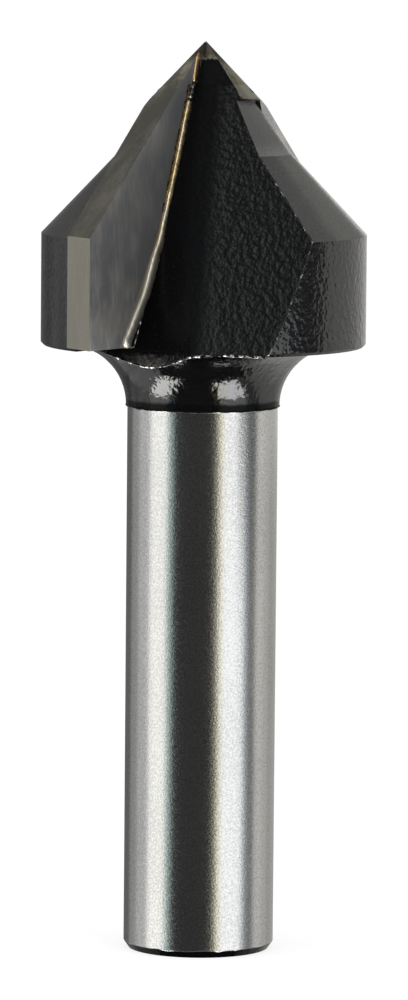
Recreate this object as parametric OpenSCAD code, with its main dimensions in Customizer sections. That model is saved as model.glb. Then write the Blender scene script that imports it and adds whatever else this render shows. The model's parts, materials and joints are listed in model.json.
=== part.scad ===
// Two flute V groove router bit on a half inch shank.
// The steel body is turned in one piece, milled with two gullets and two seats,
// and a carbide plate is brazed into each seat. Dimensions are in millimetres.
// Origin: centre of the shank's end face. +Z runs up the axis to the point.
// The rake faces of both plates lie in the XZ plane.

/* [Shank] */
// Shank diameter, held by the collet
shank_d = 12.7; // [8:0.1:16]
// Bare shank length, from the end face to the start of the neck
shank_len = 46.2; // [30:0.1:80]
// Height of the bevel round the shank's end
end_bevel_h = 0.6; // [0.2:0.05:1.5]
// Radial width of the bevel round the shank's end
end_bevel_w = 0.42; // [0.2:0.02:1.5]

/* [Neck] */
// Radial step where the coated neck starts
neck_step = 0.13; // [0.05:0.01:0.4]
// Radius of the fillet that carries the neck out to the head
neck_fillet = 5.08; // [3:0.02:6]

/* [Head] */
// Diameter of the steel head behind the cutting edges
head_d = 27.4; // [25:0.1:28.6]
// Bevel round the head's lower rim
rim_bevel = 0.25; // [0.1:0.05:0.8]
// Half angle of the steel cone behind the cutting edges
core_angle = 43.4; // [42:0.1:45]
// Distance from the bit's point down to the steel cone's own apex
core_drop = 1.7; // [1.2:0.05:2.2]
// Height of the ground nose at the point, midway between the plates
nose_len = 4.75; // [4.4:0.05:5.2]
// Slope of the undercut beneath the nose, measured from level
undercut = 27; // [20:0.5:35]
// Tilt of the undercut, which is lower towards each V edge
undercut_tilt = 7.2; // [3:0.1:10]
// Radius of the steel where it enters the nose
waist_r = 3.9; // [3.5:0.05:4.1]
// Distance from the point down to where the steel cone narrows towards the nose
waist_drop = 9.4; // [7.5:0.1:11]

/* [Cutting edges] */
// Cutting diameter across the side edges
cut_d = 31.75; // [30:0.05:33]
// Angle between the two V edges
v_angle = 90; // [88:0.5:94]
// Length of the straight side edges
side_edge = 9.3; // [6:0.1:12]
// Height of the plates' lower ends above the head's lower rim
plate_rise = 0.4; // [0.2:0.05:1]

/* [Carbide plates] */
// Plate thickness
plate_t = 3.5; // [3:0.05:4]
// Relief angle behind the edges, measured level
relief = 24; // [16:0.5:28]
// Tilt of the conical grind behind the point
tip_tilt = 1.8; // [0.5:0.1:3]
// Distance down from the point over which the plates overlap
tang_len = 3.6; // [2.4:0.1:4.2]
// Reach of each plate past the axis under the point
tang_w = 1.75; // [1.2:0.05:2.2]
// Distance from the axis to the plate's inner edge where the tang starts
top_reach = 2.5; // [2.2:0.05:3]
// Distance from the axis to the plate's inner corner, half way down
mid_reach = 7.05; // [6:0.05:8]
// Distance down from the point to that corner
mid_drop = 17; // [15:0.5:19]
// Distance from the axis to the plate's inner lower corner
low_reach = 11.7; // [10.5:0.1:12.5]

/* [Braze] */
// Width of the braze line along the plate's inner edge
braze_w = 0.8; // [0.3:0.05:1]
// Thickness of the braze film behind the plate
braze_t = 0.06; // [0.04:0.01:0.2]

/* [Gullets] */
// Angle between the gullet floor and the axis
floor_incline = 20.4; // [18:0.2:23]
// Direction the gullet floor faces, turned from square to the rake face
floor_turn = 12.8; // [6:0.2:18]
// Drop of the gullet floor's start below the point
floor_drop = 0.16; // [0.1:0.02:0.6]
// Radius of the round cutter that runs out through the neck
runout_r = 10.5; // [8:0.5:14]
// Angle between the run-out and the axis
runout_incline = 12; // [9:0.5:15]
// Distance from the axis to the run-out, level with the head's lower rim
runout_reach = 7.75; // [7.2:0.05:8.6]
// Distance of the run-out's centre in front of the rake face
runout_shift = 1; // [0:0.1:2]
// Depth of the root relief behind the rake face
root_depth = 1.6; // [0.8:0.1:2.4]
// Width of the steel strip beside the braze at its upper end
strip_start = 0.2; // [0.1:0.05:0.4]
// Width of that strip at its lower end
strip_w = 1.15; // [0.5:0.05:1.6]

/* [Hidden] */
$fn = 96;
shank_r = shank_d / 2;
neck_r = shank_r + neck_step;
head_r = head_d / 2;
cut_r = cut_d / 2;
half_v = v_angle / 2;
rim_z = shank_len + neck_fillet;
plate_z = rim_z + plate_rise;
shoulder_z = plate_z + side_edge;
tip_z = shoulder_z + cut_r / tan(half_v);
core_z = tip_z - core_drop;
head_shoulder_z = core_z - head_r / tan(core_angle);
nose_z = tip_z - nose_len;
nose_r = nose_len * tan(half_v - tip_tilt);
waist_z = tip_z - waist_drop;
root_reach = mid_reach - braze_w - strip_start;
seat_t = plate_t + braze_t;
// relief measured square to the V edge
v_relief = atan(tan(relief) * cos(half_v));
// strip edge: from the plate's inner corner down to the strip's full width
strip_drop = tip_z - plate_z - mid_drop;
strip_lean = atan((low_reach - braze_w - strip_w - root_reach) / strip_drop);
// stock that is larger than the whole bit, for cutting half spaces
big = 4 * tip_z;

// Everything turned on the lathe, before the gullets and seats are milled
module turned_blank() {
    rotate_extrude() difference() {
        polygon([
            [0, 0],
            [shank_r - end_bevel_w, 0],
            [shank_r, end_bevel_h],
            [shank_r, shank_len],
            [neck_r + neck_fillet, shank_len],
            [neck_r + neck_fillet, rim_z],
            [head_r - rim_bevel, rim_z],
            [head_r, rim_z + rim_bevel],
            [head_r, head_shoulder_z],
            [(core_z - waist_z) * tan(core_angle), waist_z],
            [waist_r, nose_z],
            [0, nose_z]
        ]);
        translate([neck_r + neck_fillet, shank_len]) circle(r = neck_fillet);
    }
    nose_half();
    rotate([0, 0, 180]) nose_half();
}

// Half of the nose, ground to shape with one plate and undercut from below
module nose_half() {
    intersection() {
        ground_half();
        translate([0, 0, nose_z]) rotate([0, -undercut_tilt, 0])
            translate([0, 0, -nose_r * tan(undercut)])
                cylinder(h = 2 * nose_len, r1 = 0, r2 = 2 * nose_len / tan(undercut));
    }
}

// Half cone behind one V edge, tilted back so that only the edge reaches full size
module ground_half() {
    intersection() {
        translate([0, 0, tip_z]) rotate([-tip_tilt, 0, 0]) mirror([0, 0, 1])
            cylinder(h = big, r1 = 0, r2 = big * tan(half_v));
        translate([-big, 0, -big]) cube([2 * big, big, 3 * big]);
    }
}

// Half space in front of the rake face, or behind it down to the given depth
module in_front(depth = 0) {
    translate([-big, depth - 2 * big, -big]) cube([2 * big, 2 * big, 3 * big]);
}

// Flat gullet floor that leaves the point and faces out and a little forward
module floor_cut() {
    translate([0, 0, tip_z - floor_drop]) rotate([0, 0, 180 + floor_turn])
        rotate([0, -floor_incline, 0]) translate([0, -big, -big])
            cube([big, 2 * big, 2 * big]);
}

// Round cutter path that deepens the gullet's root and runs out through the neck
module runout_cut() {
    translate([-runout_reach, -runout_shift, rim_z]) rotate([0, runout_incline, 0])
        translate([-runout_r, 0, -tip_z / 2]) cylinder(r = runout_r, h = tip_z);
}

// Everything on the root's side of the strip beside the braze
module beside_strip() {
    translate([-root_reach, 0, tip_z - mid_drop]) rotate([0, strip_lean, 0])
        translate([0, -big, -big]) cube([big, 2 * big, 2 * big]);
}

// All the milling in front of one rake face
module gullet_cut() {
    intersection() {
        in_front();
        union() {
            floor_cut();
            runout_cut();
        }
    }
    intersection() {
        runout_cut();
        in_front(root_depth);
        beside_strip();
        translate([-big, -big, -big]) cube([2 * big, 2 * big, big + tip_z - mid_drop]);
    }
    intersection() {
        runout_cut();
        in_front(seat_t);
        translate([-big, -big, -big]) cube([2 * big, 2 * big, big + plate_z]);
    }
}

// Plate outline in the rake face, as [distance from the axis, height]:
// grow widens it along the inner edge, out past the cutting edges, down below
function plate_outline(grow = 0, out = 0, down = 0) = [
    [0, tip_z + out],
    [-cut_r - out, shoulder_z + out * tan(half_v / 2)],
    [-cut_r - out, plate_z - down],
    [-low_reach + grow, plate_z - down],
    [-low_reach + grow, plate_z],
    [-mid_reach + grow, tip_z - mid_drop],
    [-top_reach + grow, tip_z - tang_len],
    [tang_w, tip_z - tang_len],
    [tang_w, tip_z + out]
];

module plate_stock(t, grow = 0, out = 0, down = 0) {
    rotate([90, 0, 0]) translate([0, 0, -t])
        linear_extrude(t) polygon(plate_outline(grow, out, down));
}

// Stock ground away outside one edge, where the edge runs up local Z
module edge_grind(angle) {
    rotate([0, 0, -angle]) translate([-big, -big, -big]) cube([big, 2 * big, 2 * big]);
}

// One carbide plate with its reliefs, on the -X side
module carbide_plate() {
    difference() {
        intersection() {
            plate_stock(plate_t);
            ground_half();
        }
        translate([-cut_r, 0, shoulder_z]) edge_grind(relief);
        translate([-cut_r, 0, shoulder_z]) rotate([0, half_v, 0]) edge_grind(v_relief);
        rotate([0, 0, 180]) gullet_cut();
    }
}

// Braze film behind one plate and the visible line along its inner edge
module braze_joint() {
    difference() {
        intersection() {
            plate_stock(seat_t, braze_w, plate_t);
            turned_blank();
        }
        plate_stock(plate_t, 0, 2 * plate_t);
        rotate([0, 0, 180]) gullet_cut();
    }
}

module body() {
    color([0.1, 0.1, 0.11]) difference() {
        turned_blank();
        for (turn = [0, 180]) rotate([0, 0, turn]) {
            gullet_cut();
            plate_stock(seat_t, braze_w, plate_t, plate_t);
        }
    }
}

module carbide_front() {
    color([0.52, 0.51, 0.48]) carbide_plate();
}

module carbide_rear() {
    color([0.52, 0.51, 0.48]) rotate([0, 0, 180]) carbide_plate();
}

module braze_front() {
    color([0.85, 0.72, 0.4]) braze_joint();
}

module braze_rear() {
    color([0.85, 0.72, 0.4]) rotate([0, 0, 180]) braze_joint();
}

body();
carbide_front();
carbide_rear();
braze_front();
braze_rear();
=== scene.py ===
"""Looks of a two flute V groove router bit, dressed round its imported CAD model."""

import json
import logging
import math
from collections.abc import Callable
from dataclasses import dataclass, field
from enum import Enum

import bmesh
import bpy
from mathutils import Matrix, Vector, noise

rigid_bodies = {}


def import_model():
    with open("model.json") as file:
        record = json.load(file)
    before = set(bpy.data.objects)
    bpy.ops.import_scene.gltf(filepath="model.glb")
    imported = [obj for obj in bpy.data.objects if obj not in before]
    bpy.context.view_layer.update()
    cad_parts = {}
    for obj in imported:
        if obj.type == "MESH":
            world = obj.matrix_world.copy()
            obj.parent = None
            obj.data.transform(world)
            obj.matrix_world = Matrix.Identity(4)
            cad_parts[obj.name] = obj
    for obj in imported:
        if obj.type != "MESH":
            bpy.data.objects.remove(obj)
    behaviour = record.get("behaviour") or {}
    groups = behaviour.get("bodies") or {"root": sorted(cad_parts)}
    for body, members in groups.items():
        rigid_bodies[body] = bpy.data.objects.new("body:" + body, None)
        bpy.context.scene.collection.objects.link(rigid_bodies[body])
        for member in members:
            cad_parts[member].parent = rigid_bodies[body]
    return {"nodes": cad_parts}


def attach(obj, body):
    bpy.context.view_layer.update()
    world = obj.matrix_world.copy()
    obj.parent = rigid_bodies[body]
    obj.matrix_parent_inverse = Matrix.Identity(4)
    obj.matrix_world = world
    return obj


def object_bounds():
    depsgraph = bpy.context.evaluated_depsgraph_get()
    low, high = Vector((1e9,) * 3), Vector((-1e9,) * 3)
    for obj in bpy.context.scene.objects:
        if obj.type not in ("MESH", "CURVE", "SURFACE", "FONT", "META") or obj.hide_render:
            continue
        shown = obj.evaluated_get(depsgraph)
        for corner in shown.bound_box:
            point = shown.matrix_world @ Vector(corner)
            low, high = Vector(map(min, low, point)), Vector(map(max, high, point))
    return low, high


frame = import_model()
CAD_BOX = [list(corner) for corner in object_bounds()]

LOG = logging.getLogger("router_bit")
MM = 0.001
ROOT = "root"
# heights of the bit, from the free end of the shank
BEVEL_HEIGHT = 0.6 * MM
SHANK_TOP = 46.2 * MM
RIM_HEIGHT = 51.28 * MM
WAIST_HEIGHT = 67.45 * MM
NOSE_HEIGHT = 72.1 * MM
TIP_HEIGHT = CAD_BOX[1][2]

# tints of the studio's cards
WHITE = (1.0, 1.0, 1.0, 1.0)
COOL = (0.975, 0.985, 1.0, 1.0)
CREAM = (1.0, 0.99, 0.96, 1.0)
GREENISH = (0.75, 1.0, 0.97, 1.0)
YELLOWISH = (1.0, 0.95, 0.72, 1.0)
BLUISH = (0.85, 0.93, 1.0, 1.0)
WARM = (1.0, 0.99, 0.95, 1.0)

Socket = bpy.types.NodeSocket
Input = Socket | float | tuple


class Slot(Enum):
    """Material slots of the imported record."""

    STEEL = "steel"
    COATING = "coating"
    CARBIDE = "carbide"
    BRAZE = "braze"


class Side(Enum):
    """The two halves of the bit, as a turn about its axis in radians."""

    FRONT = 0.0
    REAR = math.pi


class Graph:
    """Node tree of one material, whose helpers return output sockets."""

    def __init__(self, name: str) -> None:
        """Makes an empty material.

        Args:
            name: the material's name.
        """
        self.material = bpy.data.materials.new(name)
        self.material.use_nodes = True
        self.tree = self.material.node_tree
        self.tree.nodes.clear()

    def node(self, kind: str, **settings: object) -> bpy.types.Node:
        """Adds a node.

        Args:
            kind: the node's type name without "ShaderNode".
            settings: properties to set on it.

        Returns:
            The new node.
        """
        made = self.tree.nodes.new("ShaderNode" + kind)
        for key, value in settings.items():
            setattr(made, key, value)
        return made

    def feed(self, value: Input, socket: Socket) -> None:
        """Links a socket, or sets a plain value, on an input.

        Args:
            value: an output socket, a number or a colour.
            socket: the input that takes it.
        """
        if isinstance(value, bpy.types.NodeSocket):
            self.tree.links.new(value, socket)
        else:
            socket.default_value = value

    def math(self, operation: str, a: Input, b: Input = 0.0, clamp: bool = False) -> Socket:
        """One step of arithmetic.

        Args:
            operation: the Math node's operation.
            a: first value.
            b: second value.
            clamp: keeps the result between 0 and 1.

        Returns:
            The result.
        """
        made = self.node("Math", operation=operation, use_clamp=clamp)
        self.feed(a, made.inputs[0])
        self.feed(b, made.inputs[1])
        return made.outputs[0]

    def span(self, value: Input, low: float, high: float, start: float = 0.0, end: float = 1.0) -> Socket:
        """Carries a value smoothly from one span to another.

        Args:
            value: what is read.
            low: its value at the start.
            high: its value at the end.
            start: the result at the start.
            end: the result at the end.

        Returns:
            The result, held between start and end.
        """
        made = self.node("MapRange", interpolation_type="SMOOTHSTEP")
        for index, item in enumerate((value, low, high, start, end)):
            self.feed(item, made.inputs[index])
        return made.outputs[0]

    def blend(self, factor: Input, a: Input, b: Input, kind: str = "RGBA") -> Socket:
        """Mixes two colours or numbers.

        Args:
            factor: 0 gives a and 1 gives b.
            a: first value.
            b: second value.
            kind: RGBA or FLOAT.

        Returns:
            The mixture.
        """
        made = self.node("Mix", data_type=kind)
        first = 6 if kind == "RGBA" else 2
        self.feed(factor, made.inputs[0])
        self.feed(a, made.inputs[first])
        self.feed(b, made.inputs[first + 1])
        return made.outputs[2 if kind == "RGBA" else 0]

    def grain(self, vector: Socket, size: float, stretch: tuple = (1, 1, 1), detail: float = 2.0) -> Socket:
        """Noise of a given grain size.

        Args:
            vector: where it is read.
            size: size of one grain, in metres.
            stretch: how much finer the grain is along each axis.
            detail: the number of finer layers.

        Returns:
            Values about 0.5.
        """
        mapped = self.node("Mapping")
        self.feed(vector, mapped.inputs["Vector"])
        mapped.inputs["Scale"].default_value = stretch
        made = self.node("TexNoise")
        self.feed(mapped.outputs[0], made.inputs["Vector"])
        made.inputs["Scale"].default_value = 1 / size
        made.inputs["Detail"].default_value = detail
        return made.outputs[0]

    def bump(self, height: Socket, distance: float, strength: float = 1.0, under: Socket | None = None) -> Socket:
        """Turns a height into a normal.

        Args:
            height: the height, from 0 to 1.
            distance: what 1 stands for, in metres.
            strength: how strongly it acts.
            under: a normal from an earlier bump.

        Returns:
            The new normal.
        """
        made = self.node("Bump")
        made.inputs["Strength"].default_value = strength
        made.inputs["Distance"].default_value = distance
        self.feed(height, made.inputs["Height"])
        if under is not None:
            self.feed(under, made.inputs["Normal"])
        return made.outputs[0]

    def surface(self, colour: Input, metallic: Input, roughness: Input, normal: Socket | None = None) -> bpy.types.Node:
        """Ends the graph in one Principled shader.

        Args:
            colour: base colour.
            metallic: 1 for metal.
            roughness: how dull it is.
            normal: a bumped normal.

        Returns:
            The shader node.
        """
        shader = self.node("BsdfPrincipled")
        self.feed(colour, shader.inputs["Base Color"])
        self.feed(metallic, shader.inputs["Metallic"])
        self.feed(roughness, shader.inputs["Roughness"])
        if normal is not None:
            self.feed(normal, shader.inputs["Normal"])
        output = self.node("OutputMaterial")
        self.feed(shader.outputs[0], output.inputs[0])
        return shader

    def place(self) -> Socket:
        """Position on the piece, in metres of the row frame."""
        return self.node("TexCoord").outputs["Object"]

    def parts(self, vector: Socket) -> tuple[Socket, Socket, Socket]:
        """The three numbers of a vector."""
        made = self.node("SeparateXYZ")
        self.feed(vector, made.inputs[0])
        return tuple(made.outputs)

    def facing(self) -> Socket:
        """Normal of the flat or turned surface itself."""
        return self.node("NewGeometry").outputs["Normal"]


@dataclass(frozen=True)
class GroundSteel:
    """Centreless ground steel with a fine even grain."""

    colour: tuple = (0.56, 0.56, 0.55, 1)
    dark: tuple = (0.44, 0.44, 0.435, 1)
    roughness: float = 0.18
    grain_size: float = 0.15 * MM
    grain_depth: float = 0.0095 * MM

    def look(self, graph: Graph, place: Socket) -> tuple[Socket, Socket, Socket]:
        """Adds the finish to a graph.

        Args:
            graph: where the nodes go.
            place: position on the piece.

        Returns:
            Colour, roughness and bump height.
        """
        fine = graph.grain(place, self.grain_size, detail=3)
        specks = graph.grain(place, 0.17 * MM, detail=3)
        patches = graph.grain(place, 5 * MM, (1, 1, 0.35), 2)
        tone = graph.math("ADD", graph.math("MULTIPLY", specks, 0.75), graph.math("MULTIPLY", patches, 0.25))
        colour = graph.blend(graph.span(tone, 0.38, 0.6), self.dark, self.colour)
        rough = graph.span(fine, 0.3, 0.7, self.roughness - 0.05, self.roughness + 0.07)
        return colour, rough, fine


@dataclass(frozen=True)
class BlackCoating:
    """Glossy black coating with an orange peel surface."""

    colour: tuple = (0.0035, 0.0035, 0.004, 1)
    dust: tuple = (0.01, 0.01, 0.011, 1)
    roughness: float = 0.2
    peel_size: float = 0.5 * MM
    peel_depth: float = 0.09 * MM

    def look(self, graph: Graph, place: Socket) -> tuple[Socket, Socket, Socket]:
        """Adds the finish to a graph.

        Args:
            graph: where the nodes go.
            place: position on the piece.

        Returns:
            Colour, roughness and bump height.
        """
        peel = graph.grain(place, self.peel_size, detail=1.5)
        fine = graph.grain(place, 0.2 * MM, detail=2)
        colour = graph.blend(graph.span(fine, 0.55, 0.85), self.colour, self.dust)
        rough = graph.span(fine, 0.3, 0.8, self.roughness - 0.03, self.roughness + 0.12)
        height = graph.math("ADD", peel, graph.math("MULTIPLY", fine, 0.12))
        return colour, rough, height


@dataclass(frozen=True)
class BodyFinish:
    """Bare ground shank and cone, with the coating on the neck, head and gullets."""

    steel: GroundSteel = GroundSteel()
    coating: BlackCoating = BlackCoating()
    line_wobble: float = 0.09 * MM
    cone_facing: float = 0.58
    smooth_start: float = 1.9 * MM
    smooth_lean: float = 0.16
    nose_colour: tuple = (0.92, 0.87, 0.7, 1)
    # grey of the painted shade on the bare cone under the nose
    waist_shade_colour: tuple = (0.3, 0.3, 0.29, 1)
    polish: float = 0.1
    root_shine: float = 0.06
    open_shine: float = 0.3
    sleek_shine: float = 0.58

    def build(self) -> bpy.types.Material:
        """Makes the material, which tells the surfaces apart by height and facing."""
        graph = Graph("coated_steel_body")
        place = graph.place()
        _, across, height = graph.parts(place)
        upward = graph.parts(graph.facing())[2]
        wobble = graph.math("MULTIPLY", graph.math("SUBTRACT", graph.grain(place, 1.4 * MM, detail=3), 0.5), self.line_wobble * 4)
        line = graph.math("ADD", height, wobble)
        above = graph.span(line, SHANK_TOP - 0.15 * MM, SHANK_TOP - 0.07 * MM)
        turned = graph.span(upward, self.cone_facing - 0.03, self.cone_facing + 0.03)
        # painted shade: the bevel at the shank's free end takes the black coating, in place of the dark it reflects
        # from below
        foot_shade = graph.math("SUBTRACT", 1.0, graph.span(line, BEVEL_HEIGHT - 0.04 * MM, BEVEL_HEIGHT + 0.04 * MM))
        painted = graph.math("MAXIMUM", foot_shade, graph.math("MULTIPLY", above, graph.math("SUBTRACT", 1.0, turned)))
        steel_colour, steel_rough, steel_height = self.steel.look(graph, place)
        coat_colour, coat_rough, coat_height = self.coating.look(graph, place)
        on_neck = graph.math("SUBTRACT", 1.0, graph.span(height, RIM_HEIGHT - 0.3 * MM, RIM_HEIGHT))
        level = graph.math("SUBTRACT", 1.0, graph.span(graph.math("ABSOLUTE", upward), 0.05, 0.12))
        sleek = graph.math("MAXIMUM", on_neck, level)
        # the coating lies smooth beside the plate and peels towards the heel
        drop = graph.math("SUBTRACT", TIP_HEIGHT, height)
        edge = graph.math("ADD", graph.math("MULTIPLY", drop, self.smooth_lean), self.smooth_start)
        beyond = graph.math("SUBTRACT", graph.math("ABSOLUTE", across), edge)
        peel = graph.math("MAXIMUM", graph.span(beyond, -1.0 * MM, 1.6 * MM, 0.25, 0.85), graph.span(on_neck, 0.0, 1.0, 0.2, 0.5))
        nose = graph.span(height, NOSE_HEIGHT - 0.1 * MM, NOSE_HEIGHT + 0.1 * MM)
        # painted shade: the bare steel of the cone under the nose is darkened towards a grey from the waist up
        waist_shade = graph.span(height, WAIST_HEIGHT - 0.8 * MM, WAIST_HEIGHT + 1.6 * MM)
        steel_colour = graph.blend(waist_shade, steel_colour, self.waist_shade_colour)
        steel_colour = graph.blend(nose, steel_colour, self.nose_colour)
        colour = graph.blend(painted, steel_colour, coat_colour)
        coat_rough = graph.math("SUBTRACT", coat_rough, graph.math("MULTIPLY", sleek, self.polish))
        rough = graph.blend(painted, steel_rough, coat_rough, "FLOAT")
        bare = graph.math("SUBTRACT", 1.0, painted)
        ground = graph.bump(graph.math("MULTIPLY", steel_height, bare), self.steel.grain_depth)
        peeled = graph.math("MULTIPLY", graph.math("MULTIPLY", coat_height, painted), peel)
        normal = graph.bump(peeled, self.coating.peel_depth, under=ground)
        shader = graph.surface(colour, bare, rough, normal)
        shine = graph.span(beyond, -1.0 * MM, 1.0 * MM, self.root_shine, self.open_shine)
        shine = graph.blend(sleek, shine, self.sleek_shine, "FLOAT")
        ring = graph.math("SUBTRACT", 1.0, graph.span(line, SHANK_TOP + 0.4 * MM, SHANK_TOP + 0.75 * MM))
        shine = graph.blend(ring, shine, self.root_shine, "FLOAT")
        graph.feed(shine, shader.inputs["Specular IOR Level"])
        return graph.material


@dataclass(frozen=True)
class CarbideFinish:
    """Diamond ground carbide, with the coating on its gullet side under the point."""

    colour: tuple = (0.74, 0.72, 0.69, 1)
    # paler rake colour of the painted light on the lower rake face
    pale: tuple = (0.96, 0.93, 0.87, 1)
    warm: tuple = (0.56, 0.535, 0.46, 1)
    side_tone: tuple = (0.33, 0.315, 0.265, 1)
    dull: tuple = (0.36, 0.345, 0.295, 1)
    streak: tuple = (0.53, 0.535, 0.55, 1)
    tip_tone: tuple = (0.95, 0.9, 0.7, 1)
    burnt: tuple = (0.17, 0.14, 0.115, 1)
    coat_shine: float = 0.08
    roughness: float = 0.46
    coating: BlackCoating = BlackCoating()

    def build(self) -> bpy.types.Material:
        """Makes the material."""
        graph = Graph("ground_carbide")
        place = graph.place()
        height = graph.parts(place)[2]
        _, sideways, upward = graph.parts(graph.facing())
        lines = graph.grain(place, 0.55 * MM, (3, 3, 0.3), 5)
        clouds = graph.grain(place, 2.6 * MM, (1, 1, 0.5), 5)
        fine = graph.grain(place, 0.12 * MM, detail=2)
        tone = graph.math("ADD", graph.math("MULTIPLY", lines, 0.3), graph.math("MULTIPLY", clouds, 0.7))
        rake = graph.span(graph.math("ABSOLUTE", sideways), 0.9, 0.97)
        # painted light: the rake face is made paler towards its lower end
        low = graph.span(height, RIM_HEIGHT + 1 * MM, RIM_HEIGHT + 13 * MM, 0.8, 0.0)
        edge = graph.blend(graph.span(upward, 0.1, 0.3), self.side_tone, self.warm)
        base = graph.blend(rake, edge, graph.blend(low, self.colour, self.pale))
        tip = graph.span(height, NOSE_HEIGHT - 0.2 * MM, NOSE_HEIGHT + 1 * MM)
        base = graph.blend(graph.math("MULTIPLY", tip, graph.math("SUBTRACT", 1.0, rake)), base, self.tip_tone)
        stain = graph.blend(rake, self.dull, self.streak)
        colour = graph.blend(graph.span(tone, 0.42, 0.62), stain, base)
        point = graph.span(height, TIP_HEIGHT - 2.2 * MM, TIP_HEIGHT - 0.9 * MM, 0.0, 0.92)
        colour = graph.blend(point, colour, self.burnt)
        rough = graph.span(fine, 0.3, 0.7, self.roughness - 0.05, self.roughness + 0.1)
        floor = graph.math("MULTIPLY", graph.span(upward, 0.2, 0.27), graph.math("SUBTRACT", 1.0, graph.span(upward, 0.42, 0.5)))
        ragged = graph.math("MULTIPLY", graph.math("SUBTRACT", graph.grain(place, 0.7 * MM, detail=3), 0.5), 1.6 * MM)
        below = graph.math("SUBTRACT", 1.0, graph.span(graph.math("ADD", height, ragged), TIP_HEIGHT - 1.5 * MM, TIP_HEIGHT - 1.1 * MM))
        painted = graph.math("MULTIPLY", floor, below)
        coat_colour, coat_rough, coat_height = self.coating.look(graph, place)
        bare = graph.math("SUBTRACT", 1.0, painted)
        ground = graph.bump(graph.math("MULTIPLY", graph.math("ADD", fine, lines), bare), 0.002 * MM)
        normal = graph.bump(graph.math("MULTIPLY", coat_height, painted), self.coating.peel_depth * 0.15, under=ground)
        shader = graph.surface(
            graph.blend(painted, colour, coat_colour), bare,
            graph.blend(painted, rough, coat_rough, "FLOAT"), normal)
        shader.inputs["Specular IOR Level"].default_value = self.coat_shine
        return graph.material


@dataclass(frozen=True)
class SolderFinish:
    """Pale gold silver solder, browner and greyer in places."""

    colour: tuple = (0.84, 0.66, 0.38, 1)
    pale: tuple = (0.92, 0.87, 0.76, 1)
    burnt: tuple = (0.66, 0.42, 0.2, 1)
    stain: tuple = (0.42, 0.24, 0.1, 1)
    hidden: tuple = (0.1, 0.095, 0.085, 1)
    roughness: float = 0.27
    low_roughness: float = 0.46

    def build(self) -> bpy.types.Material:
        """Makes the material."""
        graph = Graph("silver_solder")
        place = graph.place()
        height = graph.parts(place)[2]
        patches = graph.grain(place, 1.3 * MM, (1, 1, 0.4), 2)
        specks = graph.grain(place, 0.3 * MM, (1, 1, 0.5), 2)
        low = graph.span(height, TIP_HEIGHT - 20 * MM, TIP_HEIGHT - 12 * MM, 0.95, 0.0)
        pale = graph.math("ADD", low, graph.span(patches, 0.45, 0.7, 0.0, 0.5), clamp=True)
        warm = graph.blend(pale, self.colour, self.pale)
        warm = graph.blend(graph.span(height, TIP_HEIGHT - 5 * MM, TIP_HEIGHT - 3 * MM, 0.0, 0.8), warm, self.burnt)
        upper = graph.math("SUBTRACT", 1.0, low)
        stained = graph.math("MULTIPLY", graph.span(specks, 0.6, 0.78, 0.0, 0.5), upper)
        colour = graph.blend(stained, warm, self.stain)
        rough = graph.span(specks, 0.3, 0.7, self.roughness - 0.08, self.roughness + 0.15)
        rough = graph.blend(low, rough, self.low_roughness, "FLOAT")
        depth = graph.math("ABSOLUTE", graph.parts(place)[1])
        colour = graph.blend(graph.span(depth, 0.3 * MM, 0.5 * MM), colour, self.hidden)
        uneven = graph.math("MULTIPLY", graph.math("ADD", patches, specks), upper)
        graph.surface(colour, 1.0, rough, graph.bump(uneven, 0.03 * MM))
        return graph.material


@dataclass(frozen=True)
class BeadFinish:
    """Thick black edge of the coating, with bare metal spots on its crest as painted glints."""

    glint_colour: tuple = (0.75, 0.74, 0.7, 1)
    coating: BlackCoating = BlackCoating(roughness=0.12)
    bright_from: float = 0.5
    bright_to: float = 0.62
    shine: float = 0.5

    def build(self) -> bpy.types.Material:
        """Makes the material."""
        graph = Graph("coating_edge")
        place = graph.place()
        spots = graph.grain(place, 0.55 * MM, detail=2)
        coat_colour, coat_rough, coat_height = self.coating.look(graph, place)
        # painted highlights: bare metal spots at the peaks of the noise stand in for glints along the edge
        bright = graph.span(spots, self.bright_from, self.bright_to)
        shader = graph.surface(
            graph.blend(bright, coat_colour, self.glint_colour), bright,
            graph.blend(bright, coat_rough, 0.3, "FLOAT"), graph.bump(coat_height, 0.05 * MM))
        shader.inputs["Specular IOR Level"].default_value = self.shine
        return graph.material


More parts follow.
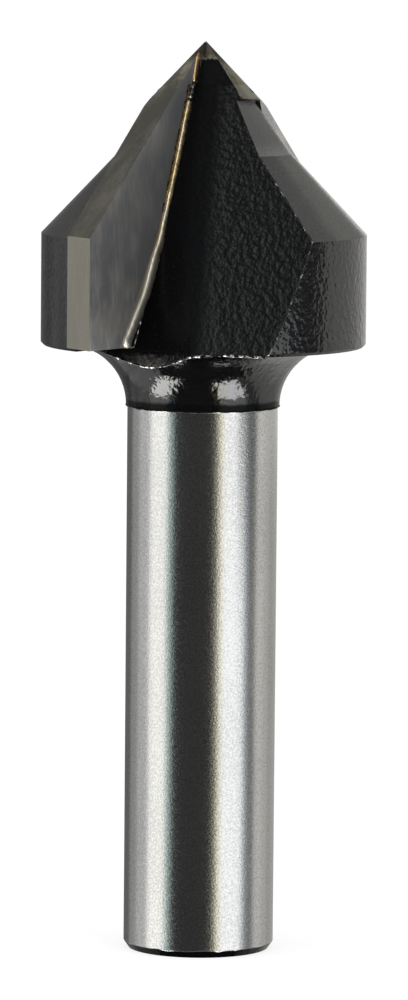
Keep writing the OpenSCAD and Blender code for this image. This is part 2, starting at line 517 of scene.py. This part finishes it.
class CadEdges:
    """Sharp edges of a CAD node, found on a merged copy of its mesh."""

    def __init__(self, node: bpy.types.Object, angle: float = 20.0) -> None:
        """Collects the edges.

        Args:
            node: the CAD node.
            angle: the least angle between the faces, in degrees.
        """
        mesh = bmesh.new()
        mesh.from_mesh(node.data)
        bmesh.ops.remove_doubles(mesh, verts=mesh.verts, dist=2e-6)
        mesh.normal_update()
        self.edges = [
            (edge.verts[0].co.copy(), edge.verts[1].co.copy(), edge.link_faces[0].normal.copy(), edge.link_faces[1].normal.copy())
            for edge in mesh.edges
            if len(edge.link_faces) == 2 and edge.calc_face_angle() > math.radians(angle)
        ]
        mesh.free()

    def chains(self, wanted: Callable[[Vector, Vector, Vector], bool]) -> list[list[Vector]]:
        """Joins the edges that a test accepts into lines.

        Args:
            wanted: takes the middle of an edge and its two normals, in either order.

        Returns:
            Lines of points, each from one end to the other.
        """
        links: dict[tuple, list[Vector]] = {}
        for a, b, first, second in self.edges:
            middle = (a + b) / 2
            if wanted(middle, first, second) or wanted(middle, second, first):
                links.setdefault(self.key(a), []).append(b)
                links.setdefault(self.key(b), []).append(a)
        places = {self.key(p): p for ends in links.values() for p in ends}
        lines = []
        starts = sorted(links, key=lambda k: (len(links[k]) != 1, k))
        used: set[tuple] = set()
        for start in starts:
            if start in used:
                continue
            line, here = [places[start]], start
            used.add(here)
            while True:
                ahead = [p for p in links[here] if self.key(p) not in used]
                if not ahead:
                    break
                line.append(ahead[0])
                here = self.key(ahead[0])
                used.add(here)
            if len(line) > 1:
                lines.append(line)
        return lines

    @staticmethod
    def key(point: Vector) -> tuple:
        """A point rounded to a hundredth of a millimetre."""
        return tuple(round(c / (0.01 * MM)) for c in point)


@dataclass
class Bead:
    """An uneven bead laid along a line of points."""

    name: str
    radius: float
    flat: float = 1.0
    waver: float = 0.5
    lump_length: float = 1.0 * MM
    step: float = 0.12 * MM
    sides: int = 10
    seed: float = 0.0
    start_share: float = 1.0

    def spaced(self, line: list[Vector]) -> list[Vector]:
        """Points along a line at the bead's own step.

        Args:
            line: the corners of the line.

        Returns:
            Points evenly spaced from one end to the other.
        """
        points = []
        for a, b in zip(line, line[1:]):
            count = max(1, round((b - a).length / self.step))
            points += [a.lerp(b, k / count) for k in range(count)]
        return points + [line[-1]]

    def width(self, share: float) -> float:
        """Share of the full radius, given the share of the way along the line."""
        return self.start_share + (1 - self.start_share) * min(1.0, share / 0.45)

    def lay(self, mesh: bmesh.types.BMesh, line: list[Vector], facing: Vector | None = None) -> None:
        """Sweeps the bead along one line.

        Args:
            mesh: takes the faces.
            line: where the bead runs.
            facing: direction in which the bead is flattened, or None where it is round.
        """
        points = self.spaced(line)
        rings = []
        for index, point in enumerate(points):
            ahead = points[min(index + 3, len(points) - 1)] - points[max(index - 3, 0)]
            along = ahead.normalized()
            side = along.orthogonal().normalized() if facing is None else along.cross(facing).normalized()
            up = side.cross(along).normalized()
            read = point / self.lump_length + Vector((self.seed, 0, 0))
            swell = 1 + self.waver * noise.noise(read) + 0.5 * self.waver * noise.noise(read * 3.1)
            taper = math.sqrt(min(1.0, (min(index, len(points) - 1 - index) + 0.3) / 4))
            reach = self.radius * max(0.15, swell) * taper * self.width(index / len(points))
            ring = []
            for k in range(self.sides):
                turn = math.tau * k / self.sides
                offset = side * math.cos(turn) + up * math.sin(turn) * self.flat
                rough = 1 + 0.08 * noise.noise((point + offset * self.radius) / (0.2 * MM))
                ring.append(mesh.verts.new(point + offset * reach * rough))
            rings.append(ring)
        for a, b in zip(rings, rings[1:]):
            for k in range(self.sides):
                n = (k + 1) % self.sides
                mesh.faces.new((a[k], a[n], b[n], b[k]))
        mesh.faces.new(list(reversed(rings[0])))
        mesh.faces.new(rings[-1])

    def build(self, lines: list[list[Vector]], finish: bpy.types.Material, slot: Slot, facing: Vector | None = None) -> bpy.types.Object:
        """Makes the piece from all its lines and lets it ride on the bit.

        Args:
            lines: where the bead runs.
            finish: its material.
            slot: not used.
            facing: direction in which the bead is flattened.

        Returns:
            The piece.
        """
        mesh = bmesh.new()
        for line in lines:
            self.lay(mesh, line, facing)
        bmesh.ops.recalc_face_normals(mesh, faces=mesh.faces)
        data = bpy.data.meshes.new(self.name)
        mesh.to_mesh(data)
        mesh.free()
        for polygon in data.polygons:
            polygon.use_smooth = True
        data.materials.append(finish)
        piece = bpy.data.objects.new(self.name, data)
        bpy.context.scene.collection.objects.link(piece)
        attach(piece, ROOT)
        LOG.info("%s: %d lines, %d faces", self.name, len(lines), len(data.polygons))
        return piece


def turned(points: list[Vector], side: Side) -> list[Vector]:
    """Points of the front half carried to one side of the bit.

    Args:
        points: points in the front half.
        side: the half they go to.

    Returns:
        The turned points.
    """
    turn = Matrix.Rotation(side.value, 4, "Z")
    return [turn @ point for point in points]


@dataclass
class Body:
    """The steel body with its coated edges."""

    finish: BodyFinish = BodyFinish()
    edge_finish: BeadFinish = BeadFinish()
    # the heel's dimmer bare metal spots are painted glints too
    heel_finish: BeadFinish = BeadFinish(glint_colour=(0.45, 0.43, 0.38, 1), bright_from=0.56, bright_to=0.68)
    runout_radius: float = 0.09 * MM
    heel_radius: float = 0.055 * MM
    strip_radius: float = 0.06 * MM
    ring_radius: float = 0.1 * MM
    shank_radius: float = 6.35 * MM
    ring_points: int = 220

    def dress(self) -> None:
        """Gives the CAD node its material and adds the edges of the coating."""
        node = frame["nodes"]["body"]
        node.data.materials.clear()
        node.data.materials.append(self.finish.build())
        LOG.info("body: coated steel")
        edges = CadEdges(node)
        edge_material = self.edge_finish.build()
        Bead("runout_edge", self.runout_radius, waver=0.9, lump_length=0.9 * MM).build(
            edges.chains(self.is_runout), edge_material, Slot.COATING)
        Bead("heel_edge", self.heel_radius, waver=1.1, lump_length=0.8 * MM, seed=7).build(
            edges.chains(self.is_heel), self.heel_finish.build(), Slot.COATING)
        Bead("strip_edge", self.strip_radius, waver=1.1, lump_length=0.7 * MM, seed=3).build(
            edges.chains(self.is_strip), edge_material, Slot.COATING)
        self.paint_line()

    @staticmethod
    def is_cut(normal: Vector) -> bool:
        """Whether a face belongs to the gullet floor or its round run-out."""
        return 0.12 < normal.z < 0.45

    def is_runout(self, middle: Vector, cut: Vector, other: Vector) -> bool:
        """Whether an edge is where a gullet runs out through the neck."""
        return self.is_cut(cut) and other.z < -0.02 and middle.z < RIM_HEIGHT + 0.3 * MM

    def is_heel(self, middle: Vector, cut: Vector, other: Vector) -> bool:
        """Whether an edge is where the gullet floor meets the cone or the head's side."""
        level = -0.02 <= other.z < 0.02 or other.z > 0.6
        outside = math.hypot(middle.x, middle.y) > 3.6 * MM and abs(middle.y) > 3 * MM
        return self.is_cut(cut) and level and outside and middle.z > RIM_HEIGHT

    def is_strip(self, middle: Vector, face: Vector, other: Vector) -> bool:
        """Whether an edge is the root side of the strip beside the braze."""
        return abs(face.y) > 0.99 and abs(middle.y) < 0.1 * MM and other.z < -0.2 and abs(other.y) < 0.2

    def paint_line(self) -> None:
        """Lays the thick edge of the coating round the top of the shank."""
        circle = []
        for index in range(self.ring_points + 1):
            turn = math.tau * index / self.ring_points
            around = Vector((math.cos(turn), math.sin(turn), 0))
            sag = 0.06 * MM * noise.noise(around * 4) + 0.05 * MM * noise.noise(around * 13)
            circle.append(around * (self.shank_radius + 0.06 * MM) + Vector((0, 0, SHANK_TOP + sag)))
        finish = BeadFinish(coating=BlackCoating(roughness=0.4), bright_from=0.8, bright_to=0.95, shine=0.04).build()
        Bead("neck_paint_line", self.ring_radius, waver=0.5, lump_length=1.6 * MM, sides=12).build(
            [circle], finish, Slot.COATING)


@dataclass
class Plates:
    """The carbide plates and the solder that holds them."""

    carbide: CarbideFinish = CarbideFinish()
    solder: SolderFinish = SolderFinish()
    bead_radius: float = 0.54 * MM
    tip_radius: float = 0.36 * MM
    bead_crown: float = 0.34
    # middle lines of the solder in the rake face, as distances from the axis and below the point
    tip_line: tuple = ((0.95, 0.9), (1.2, 2.0), (1.55, 3.4))
    line: tuple = ((2.1, 4.7), (3.45, 9.0), (4.6, 12.5), (6.15, 16.7), (6.62, 17.4), (8.1, 20.8), (10.95, 25.1))
    lumps: tuple = ((1.6, 3.65, 0.34), (1.85, 4.1, 0.44), (2.0, 4.5, 0.36), (1.7, 3.9, 0.36), (2.2, 4.85, 0.26))

    def dress(self) -> None:
        """Gives the four CAD nodes their materials and adds the beads."""
        carbide, solder = self.carbide.build(), self.solder.build()
        for name, finish in (
            ("carbide_front", carbide), ("carbide_rear", carbide),
            ("braze_front", solder), ("braze_rear", solder),
        ):
            node = frame["nodes"][name]
            node.data.materials.clear()
            node.data.materials.append(finish)
            LOG.info("%s: %s", name, finish.name)
        tip = TIP_HEIGHT
        for name, line, radius, share in (
            ("solder_bead", self.line, self.bead_radius, 0.71),
            ("tip_solder", self.tip_line, self.tip_radius, 1.0),
        ):
            path = [Vector((-reach * MM, 0, tip - drop * MM)) for reach, drop in line]
            bead = Bead(name, radius, flat=self.bead_crown, waver=0.22, lump_length=1.5 * MM, sides=14, start_share=share)
            bead.build([turned(path, side) for side in Side], solder, Slot.BRAZE, Vector((0, 1, 0)))
        self.flux_lumps(tip)

    def flux_lumps(self, tip: float) -> None:
        """Heaps a few black lumps on the solder where the coating has run.

        Args:
            tip: height of the point.
        """
        mesh = bmesh.new()
        for side in Side:
            for reach, drop, size in self.lumps:
                centre = turned([Vector((-reach * MM, 0, tip - drop * MM))], side)[0]
                made = bmesh.ops.create_icosphere(mesh, subdivisions=3, radius=size * MM)
                for vertex in made["verts"]:
                    vertex.co.y *= 0.55
                    vertex.co += centre
                    vertex.co += vertex.co.normalized() * 0.12 * MM * noise.noise(vertex.co / (0.25 * MM))
        data = bpy.data.meshes.new("coating_lumps")
        mesh.to_mesh(data)
        mesh.free()
        for polygon in data.polygons:
            polygon.use_smooth = True
        # the lumps' bare metal spots are painted glints
        data.materials.append(BeadFinish(bright_from=0.62, bright_to=0.74).build())
        piece = bpy.data.objects.new("coating_lumps", data)
        bpy.context.scene.collection.objects.link(piece)
        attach(piece, ROOT)
        LOG.info("coating_lumps: %d faces", len(data.polygons))


@dataclass(frozen=True)
class Camera:
    """The photograph's viewpoint."""

    azimuth: float = -53.82
    elevation: float = 6.0
    roll: float = 0.496
    lens: float = 234.0
    distance: float = 0.549
    aim_height: float = 0.03813
    aim_right: float = 0.00018

    def build(self) -> None:
        """Makes the camera and sets it as the scene's own."""
        turn, rise = math.radians(self.azimuth), math.radians(self.elevation)
        back = Vector((math.sin(turn) * math.cos(rise), -math.cos(turn) * math.cos(rise), math.sin(rise)))
        right = Vector((math.cos(turn), math.sin(turn), 0))
        aim = Vector((0, 0, self.aim_height)) + right * self.aim_right
        data = bpy.data.cameras.new("camera")
        data.lens = self.lens
        data.sensor_width = 36
        data.clip_start, data.clip_end = 0.01, 50
        camera = bpy.data.objects.new("camera", data)
        bpy.context.scene.collection.objects.link(camera)
        look = (-back).to_track_quat("-Z", "Y").to_matrix().to_4x4()
        roll = Matrix.Rotation(math.radians(self.roll), 4, "Z")
        camera.matrix_world = Matrix.Translation(aim + back * self.distance) @ look @ roll
        bpy.context.scene.camera = camera


@dataclass(frozen=True)
class Card:
    """A studio card or softbox that shows in reflections, as a patch of a sphere.

    Its left and right edges are angles from the camera's side, and its lower and upper edges
    are heights above the horizon, all in degrees.
    """

    name: str
    left: float
    right: float
    low: float
    high: float
    glow: float
    tint: tuple = (1.0, 1.0, 1.0, 1.0)

    def build(self, azimuth: float, radius: float, centre: Vector) -> None:
        """Makes the card.

        Args:
            azimuth: the camera's azimuth, in degrees.
            radius: distance of the card.
            centre: middle of the sphere.
        """
        columns = max(2, round(abs(self.right - self.left) / 4))
        rows = max(2, round(abs(self.high - self.low) / 4))
        mesh = bmesh.new()
        grid = []
        for row in range(rows + 1):
            rise = math.radians(self.low + (self.high - self.low) * row / rows)
            line = []
            for column in range(columns + 1):
                turn = math.radians(azimuth + self.left + (self.right - self.left) * column / columns)
                ray = Vector((math.sin(turn) * math.cos(rise), -math.cos(turn) * math.cos(rise), math.sin(rise)))
                line.append(mesh.verts.new(centre + ray * radius))
            grid.append(line)
        for below, above in zip(grid, grid[1:]):
            for k in range(columns):
                mesh.faces.new((below[k], below[k + 1], above[k + 1], above[k]))
        data = bpy.data.meshes.new(self.name)
        mesh.to_mesh(data)
        mesh.free()
        graph = Graph(self.name)
        glow = graph.node("Emission")
        glow.inputs["Color"].default_value = self.tint
        glow.inputs["Strength"].default_value = self.glow
        graph.feed(glow.outputs[0], graph.node("OutputMaterial").inputs[0])
        data.materials.append(graph.material)
        card = bpy.data.objects.new(self.name, data)
        bpy.context.scene.collection.objects.link(card)
        card.visible_camera = False
        card.visible_diffuse = False
        card.visible_shadow = False
        card.visible_transmission = False


@dataclass
class Studio:
    """Floor, world, lamps and the cards that the metal reflects."""

    camera: Camera = Camera()
    floor_half: float = 6.0
    floor_colour: tuple = (0.86, 0.86, 0.86, 1)
    floor_glow: float = 0.7
    floor_shine: float = 1.1
    world_strength: float = 0.95
    lamp_power: float = 0.5
    radius: float = 0.36
    centre: Vector = field(default_factory=lambda: Vector((0, 0, 0.04)))
    # heights of the bands of cards, and their columns with the glow of each band
    bands: tuple = ((-60, -27), (-27, -5), (-5, 12), (12, 38))
    columns: tuple = (
        ("left_back", -180, -134, (0.5, 0.16, 0.16, 0.1), WHITE),
        ("left_far", -134, -112, (0.8, 0.42, 0.44, 0.26), WHITE),
        ("left_wall", -112, -86, (1.0, 0.74, 0.8, 0.34), WHITE),
        ("left_softbox", -86, -54, (9.5, 1.7, 1.7, 1.6), CREAM),
        ("left_soft_edge", -54, -45, (0.5, 0.66, 0.66, 0.5), GREENISH),
        ("dark", -45, 19, (0.04, 0.052, 0.05, 0.05), WHITE),
        ("right_soft_edge", 19, 26, (0.5, 0.26, 0.26, 0.3), YELLOWISH),
        ("right_soft_start", 26, 32, (8.0, 1.5, 1.5, 1.0), YELLOWISH),
        ("right_softbox", 32, 56, (9.0, 1.78, 1.78, 1.2), COOL),
        ("right_soft_side", 56, 68, (8.0, 1.78, 0.22, 1.1), COOL),
        ("right_soft_end", 68, 75, (0.5, 0.85, 0.12, 0.5), BLUISH),
        ("right_gap", 75, 91, (0.3, 0.3, 0.12, 0.12), WHITE),
        ("right_wall", 91, 110, (0.8, 0.84, 0.92, 0.25), WARM),
        ("right_far", 110, 126, (0.8, 0.66, 0.8, 0.22), WARM),
        ("right_back", 126, 180, (0.8, 0.5, 0.75, 0.2), WARM),
    )
    ceiling_glow: float = 0.13
    low_glow: float = 0.03

    def cards(self) -> list[Card]:
        """The cards of every column, with one above and one below them."""
        made = [
            Card(f"{name}_{level}", left, right, low, high, glow, tint)
            for name, left, right, glows, tint in self.columns
            for level, ((low, high), glow) in enumerate(zip(self.bands, glows))
        ]
        made.append(Card("ceiling", -180, 180, self.bands[-1][1], 90, self.ceiling_glow))
        made.append(Card("low_card", -180, 180, -90, self.bands[0][0], self.low_glow))
        return made

    def build(self) -> None:
        """Makes the whole studio."""
        self.floor()
        self.world()
        self.lamps()
        for card in self.cards():
            card.build(self.camera.azimuth, self.radius, self.centre)
        self.camera.build()
        scene = bpy.context.scene
        scene.view_settings.view_transform = "Standard"

    def floor(self) -> None:
        """Makes the pale floor, which keeps the bit's shadow."""
        mesh = bmesh.new()
        bmesh.ops.create_grid(mesh, x_segments=2, y_segments=2, size=self.floor_half)
        data = bpy.data.meshes.new("floor")
        mesh.to_mesh(data)
        mesh.free()
        graph = Graph("pale_floor")
        matt = graph.node("BsdfDiffuse")
        matt.inputs["Color"].default_value = self.floor_colour
        glow = graph.node("Emission")
        seen = graph.math("MULTIPLY", graph.node("LightPath").outputs["Is Camera Ray"], self.floor_glow)
        mixed = graph.node("MixShader")
        graph.feed(seen, mixed.inputs[0])
        glow.inputs["Strength"].default_value = self.floor_shine
        graph.feed(matt.outputs[0], mixed.inputs[1])
        graph.feed(glow.outputs[0], mixed.inputs[2])
        graph.feed(mixed.outputs[0], graph.node("OutputMaterial").inputs[0])
        data.materials.append(graph.material)
        floor = bpy.data.objects.new("floor", data)
        bpy.context.scene.collection.objects.link(floor)
        floor.visible_glossy = False

    def world(self) -> None:
        """Lights the scene evenly and shows white behind it."""
        world = bpy.data.worlds.new("studio")
        bpy.context.scene.world = world
        world.use_nodes = True
        tree = world.node_tree
        tree.nodes.clear()
        path = tree.nodes.new("ShaderNodeLightPath")
        seen = tree.nodes.new("ShaderNodeMath")
        seen.operation = "MAXIMUM"
        tree.links.new(path.outputs["Is Camera Ray"], seen.inputs[0])
        mirrored = tree.nodes.new("ShaderNodeMath")
        mirrored.operation = "MAXIMUM"
        tree.links.new(path.outputs["Is Glossy Ray"], mirrored.inputs[0])
        tree.links.new(path.outputs["Is Transmission Ray"], mirrored.inputs[1])
        tree.links.new(mirrored.outputs[0], seen.inputs[1])
        strength = tree.nodes.new("ShaderNodeMapRange")
        tree.links.new(seen.outputs[0], strength.inputs[0])
        strength.inputs["To Min"].default_value = self.world_strength
        strength.inputs["To Max"].default_value = 1.0
        back = tree.nodes.new("ShaderNodeBackground")
        tree.links.new(strength.outputs[0], back.inputs["Strength"])
        back.inputs["Color"].default_value = (1, 1, 1, 1)
        output = tree.nodes.new("ShaderNodeOutputWorld")
        tree.links.new(back.outputs[0], output.inputs[0])

    def lamps(self) -> None:
        """Hangs two soft lamps, whose reflections the cards stand for."""
        for name, turn, power in (("left_lamp", -66, 1.0), ("right_lamp", 43, 1.15)):
            angle = math.radians(self.camera.azimuth + turn)
            data = bpy.data.lights.new(name, "AREA")
            data.size = 0.3
            data.energy = self.lamp_power * power
            lamp = bpy.data.objects.new(name, data)
            bpy.context.scene.collection.objects.link(lamp)
            lamp.location = (math.sin(angle) * 0.42, -math.cos(angle) * 0.42, 0.32)
            lamp.rotation_mode = "QUATERNION"
            lamp.rotation_quaternion = (lamp.location - self.centre).to_track_quat("Z", "Y")
            lamp.visible_glossy = False
            lamp.visible_camera = False


def main() -> None:
    """Dresses the bit and builds the studio round it."""
    logging.basicConfig(level=logging.INFO, format="%(name)s %(message)s")
    Body().dress()
    Plates().dress()
    Studio().build()


if __name__ == "__main__":
    main()
